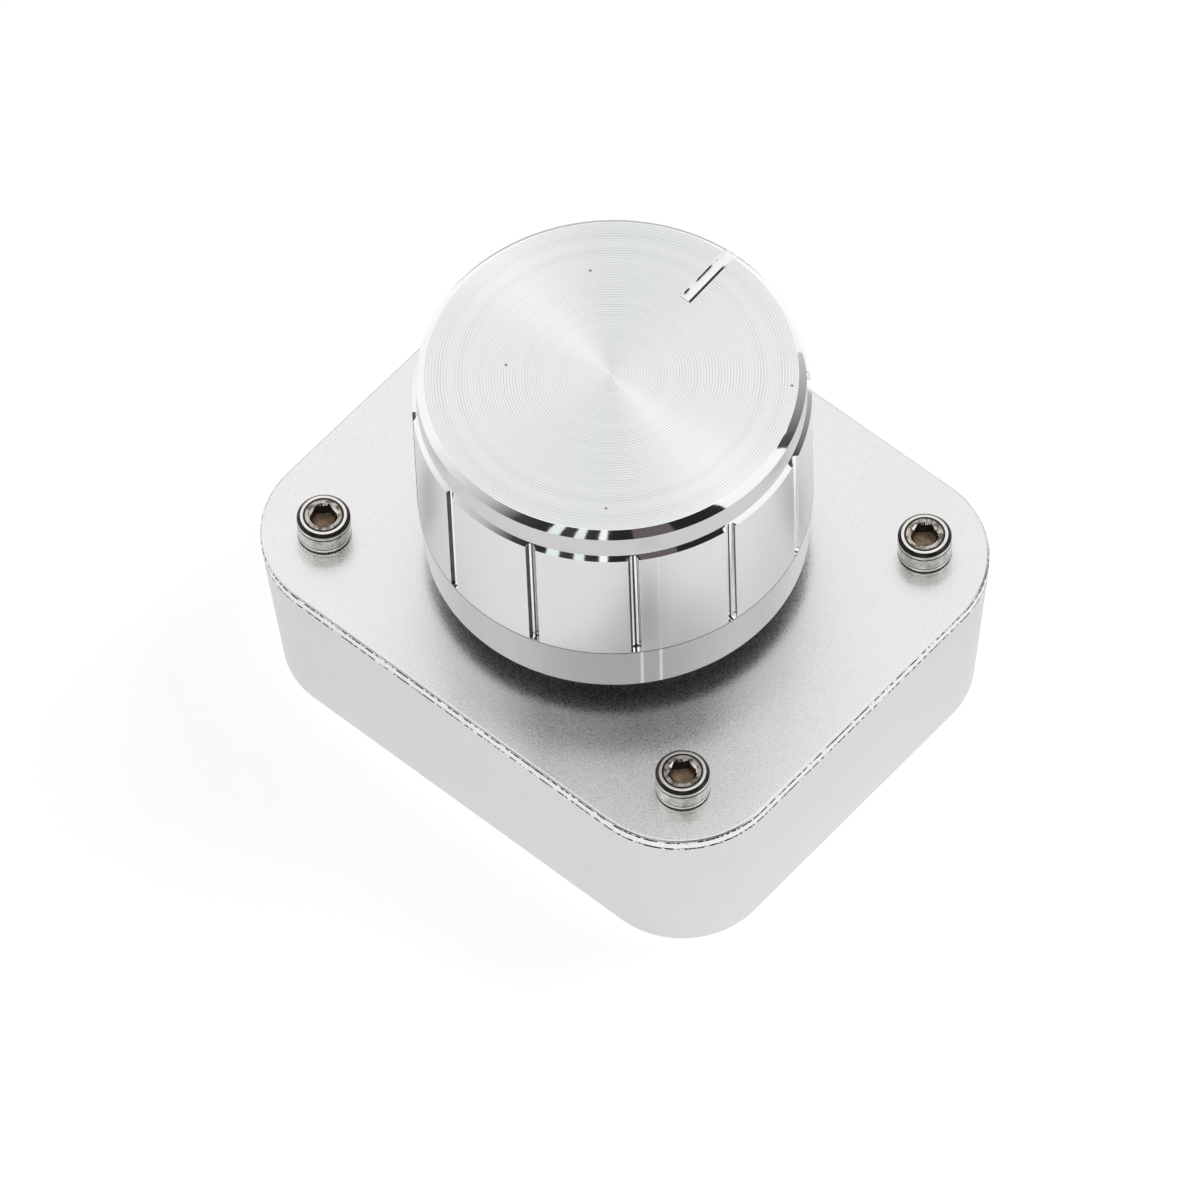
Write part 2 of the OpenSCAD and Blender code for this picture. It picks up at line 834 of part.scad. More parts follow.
module board_screws() {
    cross_width = board_screw_head_height / 3;
    color(steel)
        translate([0, 0, board_top_z])
            at_board_screws()
                difference() {
                    union() {
                        translate([0, 0, board_thickness - board_screw_length])
                            cylinder(h = board_screw_length - board_thickness, d = board_screw_shank);
                        cylinder(h = board_screw_head_height, d = board_screw_head);
                    }
                    translate([0, 0, board_screw_head_height])
                        for (turn = [0, 90])
                            rotate(turn)
                                cube([board_screw_head / 2, cross_width, board_screw_head_height],
                                    center = true);
                }
}

// Flat chip with a round mark at one corner
module radio_chip() {
    color(black)
        translate([-chip_x, chip_y, board_top_z])
            difference() {
                translate([-chip_width / 2, -chip_width / 2, 0])
                    cube([chip_width, chip_width, chip_height]);
                translate([-chip_width / 3, chip_width / 3, chip_height - lead_sheet])
                    cylinder(h = overrun, r = chip_mark_r);
            }
}

// Chip on eight bent leads
module charging_chip() {
    color(black)
        translate([chip_x, charger_y, board_top_z]) {
            translate([-charger_width / 2, -charger_length / 2, lead_sheet])
                cube([charger_width, charger_length, charger_height - lead_sheet]);
            for (side = [-1, 1], i = [-3, -1, 1, 3])
                translate([side * charger_width / 2, i * charger_pitch / 2, 0])
                    rotate([90, 0, side > 0 ? 0 : 180])
                        linear_extrude(height = charger_lead, center = true)
                            polygon([[-lead_sheet, charger_height / 2],
                                [charger_foot / 2, charger_height / 2],
                                [charger_foot / 2, lead_sheet], [charger_foot, lead_sheet],
                                [charger_foot, 0], [charger_foot / 2 - lead_sheet, 0],
                                [charger_foot / 2 - lead_sheet, charger_height / 2 - lead_sheet],
                                [-lead_sheet, charger_height / 2 - lead_sheet]]);
        }
}

module crystal() {
    color(steel)
        translate([-chip_x, crystal_y, board_top_z])
            linear_extrude(height = crystal_height)
                rounded_outline(crystal_length, crystal_width, crystal_height / 2);
}

// Row of chip parts in front of the encoder
module part_row(y, height) {
    row_start = (1 - small_part_count) * small_part_pitch / 2 - chip_part_width / 2;
    for (i = [0:small_part_count - 1])
        translate([row_start + i * small_part_pitch, y - chip_part_length / 2, board_top_z])
            cube([chip_part_width, chip_part_length, height]);
}

module capacitors() {
    color(brass)
        part_row(capacitor_y, capacitor_height);
}

module resistors() {
    color(black)
        part_row(resistor_y, resistor_height);
}

// Mouth of the socket: wide below, with slanted corners towards the board
module socket_outline(inset) {
    half = usb_width / 2 - inset;
    rise = usb_height / 2 - inset;
    corner = usb_corner - 2 * inset * (1 - cos(45));
    polygon([[-half, -rise], [half, -rise], [half, rise - corner], [half - corner, rise],
        [corner - half, rise], [-half, rise - corner]]);
}

module usb_socket_shell() {
    color(steel)
        translate([usb_x, 0, usb_z])
            difference() {
                along_y(usb_front - usb_depth, usb_front)
                    socket_outline(0);
                along_y(usb_front - usb_depth + usb_sheet, usb_front + overrun)
                    socket_outline(usb_sheet);
            }
}

module usb_socket_tongue() {
    back = usb_front - usb_depth + usb_sheet;
    root_gap = usb_sheet + fit;
    tongue_top = usb_height / 2 - usb_sheet - tongue_gap;
    color(black)
        translate([usb_x, 0, usb_z]) {
            along_y(back, back + tongue_root)
                socket_outline(root_gap);
            translate([-tongue_width / 2, back, tongue_top - tongue_sheet])
                cube([tongue_width, usb_depth - usb_sheet - tongue_setback, tongue_sheet]);
        }
}

module usb_contacts() {
    root = usb_front - usb_depth + usb_sheet + tongue_root;
    reach = usb_depth - usb_sheet - tongue_root - 2 * tongue_setback;
    contact_top = usb_height / 2 - usb_sheet - tongue_gap - tongue_sheet;
    color(brass)
        for (i = [0:contact_count - 1])
            translate([usb_x + (i - (contact_count - 1) / 2) * contact_pitch - contact_width / 2,
                    root, usb_z + contact_top - contact_sheet])
                cube([contact_width, reach, contact_sheet]);
}

// Slide switch: a case with a window, and a carriage whose lever comes out through the wall
module power_switch_case() {
    window = lever_width + switch_travel + 2 * clear;
    cavity = carriage_width + switch_travel + 2 * slip;
    inner_height = switch_height - 2 * switch_wall;
    color(steel)
        translate([switch_x, switch_front - switch_depth, switch_z])
            difference() {
                translate([-switch_width / 2, 0, -switch_height / 2])
                    cube([switch_width, switch_depth, switch_height]);
                translate([-cavity / 2, switch_wall, -inner_height / 2])
                    cube([cavity, switch_depth - 2 * switch_wall, inner_height]);
                translate([-window / 2, switch_wall, -lever_height / 2 - slip])
                    cube([window, switch_depth, lever_height + 2 * slip]);
            }
}

module power_switch_slider() {
    carriage_depth = switch_depth - 2 * switch_wall - 2 * slip;
    carriage_height = switch_height - 2 * switch_wall - 2 * slip;
    carriage_y = switch_front - switch_depth + switch_wall + slip;
    color(black)
        translate([switch_x - switch_travel / 2, 0, switch_z]) {
            translate([-carriage_width / 2, carriage_y, -carriage_height / 2])
                cube([carriage_width, carriage_depth, carriage_height]);
            translate([-lever_width / 2, carriage_y, -lever_height / 2])
                cube([lever_width, lever_tip - carriage_y, lever_height]);
        }
}

module at_switch_pins() {
    for (i = [-1, 0, 1])
        translate([switch_x + i * switch_pin_pitch, switch_front - switch_depth / 2, 0])
            children();
}

module power_switch_terminals() {
    color(brass)
        at_switch_pins()
            translate([-switch_pin / 2, -switch_pin / 2, board_z])
                cube([switch_pin, switch_pin, board_thickness + switch_pin]);
}

// Pouch cell with its protection strip at the lead end
module battery_cell() {
    end_width = cell_width - 2 * cell_end;
    end_height = cell_thickness - 2 * cell_end_step;
    color(silver)
        translate([cell_x, cell_y, cell_z + cell_thickness / 2]) {
            rotate([90, 0, 90])
                linear_extrude(height = cell_length, center = true)
                    rounded_outline(cell_width, cell_thickness, cell_round);
            translate([cell_length / 2, -end_width / 2, -end_height / 2])
                cube([cell_end, end_width, end_height]);
        }
}

module battery_pad() {
    color(black)
        translate([cell_x, cell_y, floor_z])
            linear_extrude(height = pad_thickness)
                rounded_outline(cell_length - 2 * pad_inset, cell_width - 2 * pad_inset, pad_inset);
}

// Two leads: straight out of the cell, then a quarter bend up into the plug
module battery_leads() {
    lead_start = cell_right + cell_end;
    color("red")
        for (side = [-1, 1])
            translate([lead_start, cell_y + side * lead_gap / 2, lead_z]) {
                rotate([0, 90, 0])
                    cylinder(h = lead_run, d = lead_diameter);
                translate([lead_run, 0, lead_bend])
                    rotate([90, 0, 0])
                        rotate(-90)
                            rotate_extrude(angle = 90)
                                translate([lead_bend, 0])
                                    circle(d = lead_diameter);
            }
}

// Plug on the leads, in the header that hangs under the board
module battery_plug() {
    plug_top = board_z - header_roof;
    color("white")
        translate([plug_x - plug_length / 2, cell_y - plug_width / 2, plug_z])
            cube([plug_length, plug_width, plug_top - plug_z]);
}

module battery_header() {
    length = plug_length + 2 * (header_wall + slip);
    width = plug_width + 2 * (header_wall + slip);
    color("ivory")
        translate([plug_x, cell_y, board_z - header_height])
            difference() {
                translate([-length / 2, -width / 2, 0])
                    cube([length, width, header_height]);
                translate([-plug_length / 2 - slip, -plug_width / 2 - slip, -overrun])
                    cube([plug_length + 2 * slip, plug_width + 2 * slip,
                        header_height - header_roof + overrun]);
            }
}

housing();
top_plate();
cap_screws();
rubber_feet();
knob();
knob_insert();
encoder_shaft();
encoder_frame();
encoder_nut();
encoder_washer();
encoder_case();
encoder_rotor();
detent_spring();
push_plunger();
switch_dome();
encoder_terminals();
circuit_board();
board_screws();
radio_chip();
charging_chip();
crystal();
capacitors();
resistors();
usb_socket_shell();
usb_socket_tongue();
usb_contacts();
power_switch_case();
power_switch_slider();
power_switch_terminals();
battery_cell();
battery_pad();
battery_leads();
battery_plug();
battery_header();
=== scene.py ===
import json
from math import acos, atan2, cos, hypot, pi, radians, sin, sqrt, tau

import bmesh
import bpy
from mathutils import Matrix, Vector


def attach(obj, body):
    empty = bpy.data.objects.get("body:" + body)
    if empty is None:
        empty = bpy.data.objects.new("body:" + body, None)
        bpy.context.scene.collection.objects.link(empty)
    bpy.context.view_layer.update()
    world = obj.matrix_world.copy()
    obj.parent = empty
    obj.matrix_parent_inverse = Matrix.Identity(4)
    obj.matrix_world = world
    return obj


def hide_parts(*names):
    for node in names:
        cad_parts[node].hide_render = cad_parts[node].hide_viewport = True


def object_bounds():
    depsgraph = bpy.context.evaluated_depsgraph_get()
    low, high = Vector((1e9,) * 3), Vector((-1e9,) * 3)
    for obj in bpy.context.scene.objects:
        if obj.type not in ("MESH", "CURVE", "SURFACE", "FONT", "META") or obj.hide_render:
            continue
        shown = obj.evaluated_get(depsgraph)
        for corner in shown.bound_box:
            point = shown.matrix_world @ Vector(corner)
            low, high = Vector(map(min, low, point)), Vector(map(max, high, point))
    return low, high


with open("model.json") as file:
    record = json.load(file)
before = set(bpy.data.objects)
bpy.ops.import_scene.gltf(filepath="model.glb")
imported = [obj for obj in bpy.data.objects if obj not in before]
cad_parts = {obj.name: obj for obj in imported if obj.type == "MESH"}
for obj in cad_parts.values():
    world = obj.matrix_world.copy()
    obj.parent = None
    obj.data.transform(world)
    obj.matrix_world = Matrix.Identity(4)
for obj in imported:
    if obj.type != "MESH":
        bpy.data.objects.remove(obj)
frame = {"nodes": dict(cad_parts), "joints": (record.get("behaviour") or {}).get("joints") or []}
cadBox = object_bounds()
cadNodes = frame["nodes"]
mm = 0.001
weld = 0.0005 * mm
print("frame:", len(cadNodes), "nodes")

turnJoint = next(j for j in frame["joints"] if j["name"] == "knob_turn")
axisX, axisY = turnJoint["pos_m"][:2]


# Small helpers for meshes

def newPiece(name, bm, materials, body, node):
    # a piece that takes the place of a CAD node and rides on its body
    bmesh.ops.recalc_face_normals(bm, faces=bm.faces)
    mesh = bpy.data.meshes.new(name)
    bm.to_mesh(mesh)
    bm.free()
    piece = bpy.data.objects.new(name, mesh)
    bpy.context.scene.collection.objects.link(piece)
    for material in materials:
        mesh.materials.append(material)
    shadeByAngle(mesh)
    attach(piece, body)
    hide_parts(node)
    return piece


def shadeByAngle(mesh, limit=32):
    # smooth faces, with hard edges where the surface turns by more than the limit
    bm = bmesh.new()
    bm.from_mesh(mesh)
    for face in bm.faces:
        face.smooth = True
    for edge in bm.edges:
        edge.smooth = len(edge.link_faces) == 2 and edge.calc_face_angle(0) < radians(limit)
    bm.to_mesh(mesh)
    bm.free()


def evenNormals(piece):
    # flat faces stay flat beside their rounded edges
    weighted = piece.modifiers.new("evenNormals", "WEIGHTED_NORMAL")
    weighted.keep_sharp = True
    weighted.mode = "FACE_AREA"


def cutWith(piece, bm):
    # takes the closed shape in bm out of the piece, for good
    mesh = bpy.data.meshes.new("cutter")
    bmesh.ops.recalc_face_normals(bm, faces=bm.faces)
    bm.to_mesh(mesh)
    bm.free()
    cutter = bpy.data.objects.new("cutter", mesh)
    bpy.context.scene.collection.objects.link(cutter)
    boolean = piece.modifiers.new("cut", "BOOLEAN")
    boolean.operation = "DIFFERENCE"
    boolean.solver = "EXACT"
    boolean.object = cutter
    bpy.context.view_layer.update()
    evaluated = piece.evaluated_get(bpy.context.evaluated_depsgraph_get())
    result = bpy.data.meshes.new_from_object(evaluated)
    piece.modifiers.remove(boolean)
    piece.data = result
    bpy.data.objects.remove(cutter)


def splitAt(bm, z):
    # cuts all faces along a level plane
    bmesh.ops.bisect_plane(bm, geom=bm.verts[:] + bm.edges[:] + bm.faces[:],
                           plane_co=(0, 0, z * mm), plane_no=(0, 0, 1))


def turnZ(bm, angle):
    bmesh.ops.rotate(bm, verts=bm.verts, cent=(0, 0, 0), matrix=Matrix.Rotation(angle, 3, "Z"))


def spinProfile(bm, points, turns):
    # turns a line of (radius, height) points round Z, one step for each angle in turns
    line = [bm.verts.new((r * mm, 0, z * mm)) for r, z in points]
    last = line + [bm.edges.new(pair) for pair in zip(line, line[1:])]
    for turn in turns:
        last = bmesh.ops.spin(bm, geom=last, cent=(0, 0, 0), axis=(0, 0, 1), angle=turn, steps=1,
                              use_merge=False)["geom_last"]
    bmesh.ops.remove_doubles(bm, verts=bm.verts, dist=weld)
    bmesh.ops.recalc_face_normals(bm, faces=bm.faces)


def onRing(edge, r, z, near=0.002):
    # whether both ends of the edge lie on the ring of that radius and height
    return all(abs(hypot(v.co.x, v.co.y) - r * mm) < near * mm and abs(v.co.z - z * mm) < near * mm
               for v in edge.verts)


def roundEdges(bm, edges, width):
    bmesh.ops.bevel(bm, geom=edges, offset=width * mm, offset_type="OFFSET", affect="EDGES",
                    segments=3, profile=0.5, material=-1, clamp_overlap=False)


# Small helpers for materials

def newMaterial(name, color, metallic=0.0, roughness=0.5, **extra):
    material = bpy.data.materials.new(name)
    material.use_nodes = True
    shader = material.node_tree.nodes["Principled BSDF"]
    shader.inputs["Base Color"].default_value = (*color, 1)
    shader.inputs["Metallic"].default_value = metallic
    shader.inputs["Roughness"].default_value = roughness
    for socket, value in extra.items():
        shader.inputs[socket.replace("_", " ")].default_value = value
    return material


def addNode(material, kind, inputs=None, **settings):
    node = material.node_tree.nodes.new("ShaderNode" + kind)
    for key, value in settings.items():
        setattr(node, key, value)
    for key, value in (inputs or {}).items():
        if isinstance(value, bpy.types.NodeSocket):
            material.node_tree.links.new(value, node.inputs[key])
        else:
            node.inputs[key].default_value = value
    return node


def toShader(material, socket, output):
    shader = material.node_tree.nodes["Principled BSDF"]
    material.node_tree.links.new(output, shader.inputs[socket])


def calc(material, operation, first, second=0.0, third=0.0):
    return addNode(material, "Math", {0: first, 1: second, 2: third},
                   operation=operation).outputs["Value"]


def product(material, first, second):
    return calc(material, "MULTIPLY", first, second)


def objectPoint(material, move=(0, 0, 0), stretch=(1, 1, 1)):
    place = addNode(material, "TexCoord").outputs["Object"]
    return addNode(material, "Mapping", {"Vector": place, "Location": move,
                                         "Scale": stretch}).outputs["Vector"]


def knobPoint(material):
    # object coordinates counted from the knob's axis
    return objectPoint(material, move=(-axisX, -axisY, 0))


def parts(material, vector):
    # the x, y and z of a vector
    return addNode(material, "SeparateXYZ", {"Vector": vector}).outputs


def azimuthOf(material, vector):
    split = parts(material, vector)
    return calc(material, "ARCTAN2", split["Y"], split["X"])


def noise(material, point, size, detail):
    # size is the grain's width in millimetres
    return addNode(material, "TexNoise", {"Vector": point, "Scale": 1 / (size * mm),
                                          "Detail": detail}).outputs["Fac"]


def spread(material, value, low, high, start=0.3, end=0.7):
    # low up to start, high from end on, and evenly between them
    return addNode(material, "MapRange", {"Value": value, "From Min": start, "From Max": end,
                                          "To Min": low, "To Max": high}).outputs["Result"]


def blendColor(material, fac, first, second):
    # first is a colour or another node's output, second is a colour
    under = first if isinstance(first, bpy.types.NodeSocket) else (*first, 1)
    return addNode(material, "Mix", {"Factor": fac, "A": under, "B": (*second, 1)},
                   data_type="RGBA").outputs["Result"]


def shade(color, amount):
    return [max(0.0, min(1.0, c * amount)) for c in color]


def addBump(material, height, depth):
    # depth in millimetres
    bump = addNode(material, "Bump", {"Height": height, "Distance": depth * mm})
    toShader(material, "Normal", bump.outputs["Normal"])


def grainMaterial(name, look):
    # a tone that wanders a little, an uneven roughness and a fine grain in relief
    low, high = look["rough"]
    material = newMaterial(name, look["color"], look.get("metal", 0.0), (low + high) / 2)
    point = objectPoint(material, stretch=look.get("stretch", (1, 1, 1)))
    tone = noise(material, point, look.get("toneSize", 8), detail=3)
    fine = noise(material, point, look["grain"], detail=2)
    speckle = look.get("speckle", 0)
    if speckle:
        tone = calc(material, "MULTIPLY_ADD", fine, speckle, product(material, tone, 1 - speckle))
    start, end = look.get("edge", (0.3, 0.7))
    vary = look.get("vary", 0.05)
    color = blendColor(material, spread(material, tone, 0, 1, start, end),
                       shade(look["color"], 1 - vary), shade(look["color"], 1 + vary))
    toShader(material, "Base Color", color)
    toShader(material, "Roughness", spread(material, fine, low, high))
    addBump(material, fine, look.get("depth", 0.01))
    return material


def addPaintedHighlights(material, places, wide, level, core=0.15, fade=0.85):
    # painted highlights: brighter upright marks, full within core of their width and gone at fade
    azimuth = azimuthOf(material, knobPoint(material))
    shader = material.node_tree.nodes["Principled BSDF"]
    color = shader.inputs["Base Color"].links[0].from_socket
    for place in places:
        turned = calc(material, "COSINE", calc(material, "SUBTRACT", azimuth, radians(place)))
        away = calc(material, "ARCCOSINE", turned)
        mark = spread(material, away, level, 0, radians(wide * core), radians(wide * fade))
        color = blendColor(material, mark, color, (1, 1, 1))
    toShader(material, "Base Color", color)


# Materials of the aluminium pieces

# grain, depth and toneSize are in millimetres, vary is the tone's change up and down, speckle
# the grain's share in the tone, and edge narrows the tone's change to an abrupt one
aluminium = {
    "plate": {"color": (0.82, 0.825, 0.82), "metal": 1.0, "rough": (0.25, 0.33), "grain": 0.17,
              "depth": 0.010, "toneSize": 14, "vary": 0.05, "speckle": 0.85},
    "housing": {"color": (0.72, 0.72, 0.72), "metal": 1.0, "rough": (0.46, 0.54), "grain": 0.16,
                "depth": 0.008, "toneSize": 20, "vary": 0.03, "speckle": 0.7},
    "grip": {"color": (0.74, 0.74, 0.74), "metal": 1.0, "rough": (0.32, 0.40), "grain": 0.12,
             "depth": 0.003, "toneSize": 9, "vary": 0.015, "stretch": (1, 1, 0.35)},
    "band": {"color": (0.64, 0.63, 0.64), "metal": 1.0, "rough": (0.34, 0.42), "grain": 0.12,
             "depth": 0.003, "toneSize": 9, "vary": 0.02},
    # the skirt's colour is set low as painted shade, on top of the dark plate that it reflects
    "skirt": {"color": (0.30, 0.30, 0.30), "metal": 1.0, "rough": (0.14, 0.2), "grain": 0.12,
              "depth": 0.002, "toneSize": 9, "vary": 0.03},
    # a broken dark line: the joint under the plate in its own dark, and the plate's bevel in a
    # painted dark reflection
    "joint": {"color": (0.45, 0.45, 0.45), "metal": 0.9, "rough": (0.3, 0.4), "grain": 0.3,
              "depth": 0.01, "toneSize": 0.4, "vary": 0.98, "edge": (0.49, 0.56)},
    "groove": {"color": (0.92, 0.92, 0.92), "metal": 1.0, "rough": (0.12, 0.2), "grain": 0.12,
               "depth": 0.002, "toneSize": 4, "vary": 0.03},
    # painted shade for the dark lines inside the grooves
    "grooveShade": {"color": (0.06, 0.06, 0.06), "metal": 0.6, "rough": (0.3, 0.45), "grain": 0.15,
               "depth": 0.003, "toneSize": 1.2, "vary": 0.5},
    "edge": {"color": (0.93, 0.93, 0.93), "metal": 1.0, "rough": (0.04, 0.07), "grain": 0.2,
             "depth": 0.0004, "toneSize": 6, "vary": 0.01},
}
plateMetal = grainMaterial("blastedPlate", aluminium["plate"])
housingMetal = grainMaterial("blastedHousing", aluminium["housing"])
gripMetal = grainMaterial("satinGrip", aluminium["grip"])
edgeMetal = grainMaterial("diamondCutEdge", aluminium["edge"])
bandMetal = grainMaterial("satinBand", aluminium["band"])
skirtMetal = grainMaterial("turnedSkirt", aluminium["skirt"])
grooveMetal = grainMaterial("milledGroove", aluminium["groove"])
grooveShadeMetal = grainMaterial("paintedGrooveShade", aluminium["grooveShade"])
jointAndBevelShadeMetal = grainMaterial("plateJointAndBevelShade", aluminium["joint"])

# painted highlights that turn with the knob: places round the knob's axis and width in degrees, in
# the rest pose, and strength; skirtSides paints the lower band lighter towards both sides, the
# others paint thin bright upright lines
paintedHighlights = {
    "skirtSides": (skirtMetal, (42.75, 222.75), 120, 0.5),
    "gripFront": (gripMetal, (-41.39, -35.8), 0.7, 0.22),
    "skirtFront": (skirtMetal, (-41.39, -35.8), 0.8, 0.5),
}
for highlight in paintedHighlights.values():
    addPaintedHighlights(*highlight)
print("aluminium:", len(aluminium), "looks and", len(paintedHighlights), "sets of streaks")


# The turned knob

knob = {
    "height": 26.5, "faceR": 18.7, "chamferZ": 25.8, "bandR": 19.5, "bandZ": 23.15, "gripR": 20.0,
    "gripTop": 22.7125, "skirtR": 19.6, "rim": 0.25, "lip": 0.03, "scribeTop": 6.52,
    "scribeLow": 6.4, "scribeDepth": 0.12, "hollowR": 16.0, "hollowDepth": 9.0, "hubR": 7.0,
    "hubLow": 3.75, "holeR": 4.8, "holeTop": 16.2,
    "grooves": 12, "grooveR": 0.54, "grooveDepth": 0.46, "grooveFoot": 6.6, "footStep": 0.01,
    "columnsInGroove": 14, "columnsOnLand": 26,
    # painted shade lines in a groove, across it from its middle: one beside a lip and one in the
    # middle
    "lipLine": -0.33, "middleLine": (-0.12, 0.06),
    "slotWidth": 1.3, "slotDepth": 0.45, "slotStart": 11.8, "slotFlare": 0.1,
    "underside": 24.5, "turn": 92.1,
}
spunFace = {
    "color": (0.80, 0.81, 0.815), "rough": 0.33, "anisotropy": 0.95,
    # turning marks, deeper in some zones and patches than in others
    "pitch": 0.3, "zoneScale": 900.0, "patchSize": 5, "patchRange": (0.4, 1.6), "depth": 0.002,
    "low": (0.70, 0.71, 0.71), "high": (0.96, 0.965, 0.97), "contrast": 0.6,
    "roughRange": (0.30, 0.36),
    # specks of dirt: distance apart, inner and outer radius as shares of it, strength
    "speckSpacing": 17, "speckReach": (0.006, 0.010), "speckLevel": 0.85,
    "speck": (0.08, 0.08, 0.08),
}
slotFloor = {
    "color": (0.9, 0.9, 0.9), "rough": 0.3, "bareColor": (0.92, 0.92, 0.92),
    "shadeColor": (0.03, 0.03, 0.03), "roughRange": (0.25, 0.4), "breakup": 0.9, "broken": (0.46, 0.56),
    # where the painted shade is full and where it ends, in millimetres from the slot's near side,
    # its far side, the top face, the slot's inner end and the knob's axis
    "near": (0.33, 0.43), "far": (0.04, 0.10), "deep": (0.25, 0.15), "inner": (0.34, 0.44),
    "outer": (17.3, 17.8),
}
# how far a face's centre may lie from a size that parts two looks, in millimetres, and the rise of
# its normal up to which a face is an upright wall
margins = {"face": 0.001, "slotFloor": 0.01, "chamfer": 0.02, "step": 0.01, "grooveLip": 0.004,
           "grooveBottom": 0.05, "hollow": 1, "upright": 0.2}


def spunFaceMaterial(f):
    material = newMaterial("spunFace", f["color"], 1.0, f["rough"], Anisotropic=f["anisotropy"])
    point = knobPoint(material)
    flat = addNode(material, "VectorMath", {0: point, 1: (1, 1, 0)},
                   operation="MULTIPLY").outputs["Vector"]
    radius = addNode(material, "VectorMath", {0: flat}, operation="LENGTH").outputs["Value"]
    wave = calc(material, "SINE", product(material, radius, tau / (f["pitch"] * mm)))
    zone = addNode(material, "TexNoise", {"W": radius, "Scale": f["zoneScale"], "Detail": 3.0},
                   noise_dimensions="1D").outputs["Fac"]
    patch = noise(material, point, f["patchSize"], detail=2)
    patch = spread(material, patch, *f["patchRange"])
    deep = product(material, product(material, wave, zone), patch)
    addBump(material, deep, f["depth"])
    # the marks spread the light outwards and inwards, not round
    tangent = addNode(material, "VectorTransform", {"Vector": flat}, vector_type="VECTOR",
                      convert_from="OBJECT", convert_to="WORLD").outputs["Vector"]
    toShader(material, "Tangent", tangent)
    tint = calc(material, "MULTIPLY_ADD", deep, f["contrast"], 0.5)
    color = blendColor(material, tint, f["low"], f["high"])
    away = addNode(material, "TexVoronoi", {"Vector": point, "Scale": 1 / (f["speckSpacing"] * mm)},
                   voronoi_dimensions="2D").outputs["Distance"]
    specks = spread(material, away, f["speckLevel"], 0, *f["speckReach"])
    toShader(material, "Base Color", blendColor(material, specks, color, f["speck"]))
    toShader(material, "Roughness", spread(material, zone, *f["roughRange"]))
    return material


def slotMaterial(k, d):
    # bright floor of the indicator slot, with painted shade along its near side and broken painted
    # shade at the foot of its far side and at its inner end
    material = newMaterial("milledSlot", d["color"], 1.0, d["rough"])
    back = (0, 0, -radians(k["turn"]))
    turned = addNode(material, "Mapping", {"Vector": knobPoint(material),
                                           "Rotation": back}).outputs["Vector"]
    split = parts(material, turned)
    breakup = noise(material, turned, d["breakup"], detail=2)
    half, topZ = k["slotWidth"] / 2, k["underside"] + k["height"]

    def along(axis, low, high, start, end):
        # from low to high between two places on the axis, in millimetres
        return spread(material, split[axis], low, high, start * mm, end * mm)

    near = along("Y", 1, 0, d["near"][0] - half, d["near"][1] - half)
    far = along("Y", 0, 1, half - d["far"][1], half - d["far"][0])
    deep = along("Z", 1, 0, topZ - d["deep"][0], topZ - d["deep"][1])
    inner = along("X", 1, 0, k["slotStart"] + d["inner"][0], k["slotStart"] + d["inner"][1])
    outer = along("X", 1, 0, *d["outer"])
    broken = spread(material, breakup, 0, 1, *d["broken"])
    # painted shade along the near side, and broken painted shade at the far side's foot and the
    # inner end
    farShade = product(material, product(material, product(material, far, deep), outer), broken)
    slotShade = calc(material, "MAXIMUM", product(material, near, outer), farShade)
    slotShade = calc(material, "MAXIMUM", slotShade, product(material, inner, broken))
    toShader(material, "Base Color", blendColor(material, slotShade, d["bareColor"], d["shadeColor"]))
    toShader(material, "Roughness", spread(material, breakup, *d["roughRange"]))
    return material


knobLooks = {"face": spunFaceMaterial(spunFace), "edge": edgeMetal, "grip": gripMetal,
             "band": bandMetal, "skirt": skirtMetal, "groove": grooveMetal, "grooveShade": grooveShadeMetal,
             "slot": slotMaterial(knob, slotFloor)}


def knobProfile(k):
    # from the face's centre down the outside, then up into the hollow and the shaft's hole
    scribeR = k["gripR"] - k["scribeDepth"]
    return [(0, k["height"]), (k["faceR"], k["height"]), (k["bandR"], k["chamferZ"]),
            (k["bandR"], k["bandZ"]), (k["gripR"], k["gripTop"]),
            (k["gripR"], k["grooveFoot"] + k["footStep"]), (k["gripR"], k["grooveFoot"]),
            (k["gripR"], k["scribeTop"]), (scribeR, k["scribeTop"]), (scribeR, k["scribeLow"]),
            (k["gripR"], k["scribeLow"]), (k["skirtR"], k["rim"]), (k["skirtR"] - k["rim"], 0),
            (k["hollowR"], 0), (k["hollowR"], k["hollowDepth"]), (k["hubR"], k["hollowDepth"]),
            (k["hubR"], k["hubLow"]), (k["holeR"], k["hubLow"]), (k["holeR"], k["holeTop"]),
            (0, k["holeTop"])]


def grooveColumns(k):
    # angles of the columns in one groove, evenly spaced round its arc
    r, count = k["grooveR"], k["columnsInGroove"]
    middle = k["gripR"] + r - k["grooveDepth"]
    lipTurn = acos((middle ** 2 + r ** 2 - k["gripR"] ** 2) / (2 * middle * r))
    swings = [lipTurn * (2 * i / count - 1) for i in range(count + 1)]
    return [atan2(r * sin(swing), middle - r * cos(swing)) for swing in swings]


def fromGroove(angle, k):
    # the angle from the nearest groove's centre
    pitch = tau / k["grooves"]
    return angle - pitch * round(angle / pitch)


def grooveReach(angle, k):
    # radius of the grooved wall at an angle from the nearest groove's centre
    middle = k["gripR"] + k["grooveR"] - k["grooveDepth"]
    side = middle * sin(angle)
    if abs(side) >= k["grooveR"]:
        return k["gripR"]
    return min(k["gripR"], middle * cos(angle) - sqrt(k["grooveR"] ** 2 - side ** 2))


